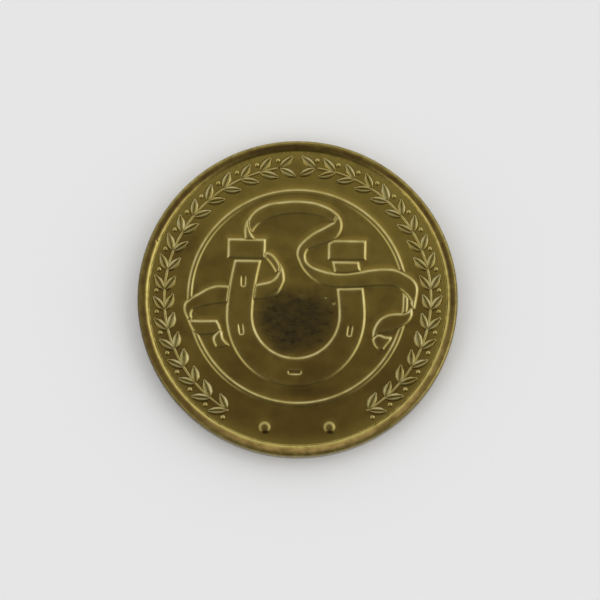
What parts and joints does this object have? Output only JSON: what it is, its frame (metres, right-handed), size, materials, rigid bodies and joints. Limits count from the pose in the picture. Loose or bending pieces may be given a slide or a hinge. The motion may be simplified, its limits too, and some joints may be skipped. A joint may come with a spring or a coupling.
{
  "type": "ball marker",
  "caption": "Round brass golf ball marker, struck like a coin with a ribboned horseshoe in relief inside a laurel border; lies flat on the green to mark a ball's place.",
  "frame": {"origin": "centre of the token on the plane of the reverse rim, which it lies on", "axes": "+Z out of the obverse; +Y towards the top of the horseshoe's picture; +X to its right"},
  "size_m": [0.0254, 0.0254, 0.0016],
  "materials": {
    "struck_brass": "aged, struck, satin field with brighter raised edges"
  },
  "bodies": {
    "root": {"struck_token": "struck_brass"}
  },
  "joints": []
}
